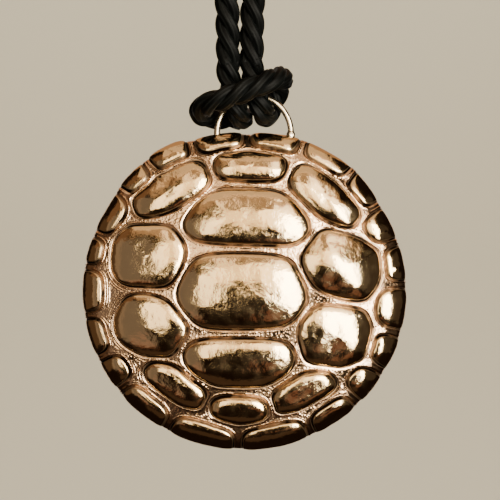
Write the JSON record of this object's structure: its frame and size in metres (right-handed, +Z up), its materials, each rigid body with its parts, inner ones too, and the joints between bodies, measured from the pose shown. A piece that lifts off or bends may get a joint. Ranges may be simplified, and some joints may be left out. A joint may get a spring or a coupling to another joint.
{
  "type": "pendant necklace",
  "caption": "Domed cast brass medallion with a tortoise-shell relief, hung by a wire bail from a lark's head knot in a twisted neck cord.",
  "frame": {"origin": "underside of the sleeve at the nape, where the necklace hangs", "axes": "+Z up, +X to the right as seen from the front, the medallion's face looks along -Y"},
  "size_m": [0.1266, 0.0169, 0.3293],
  "materials": {
    "gilt_brass": "polished, antiqued in the grooves",
    "black_cord": "twisted three-strand cord",
    "sleeve_metal": "satin"
  },
  "bodies": {
    "necklace": {"cord_left": "black_cord", "cord_right": "black_cord", "knot": "black_cord", "nape_sleeve": "sleeve_metal"},
    "pendant": {"medallion": "gilt_brass"}
  },
  "joints": [
    {"name": "medallion_swing", "type": "hinge", "parent": "necklace", "child": "pendant", "pos_m": [0.00258, 0.00347, -0.25844], "axis": [1, 0, 0], "range_deg": [-15, 15]}
  ]
}
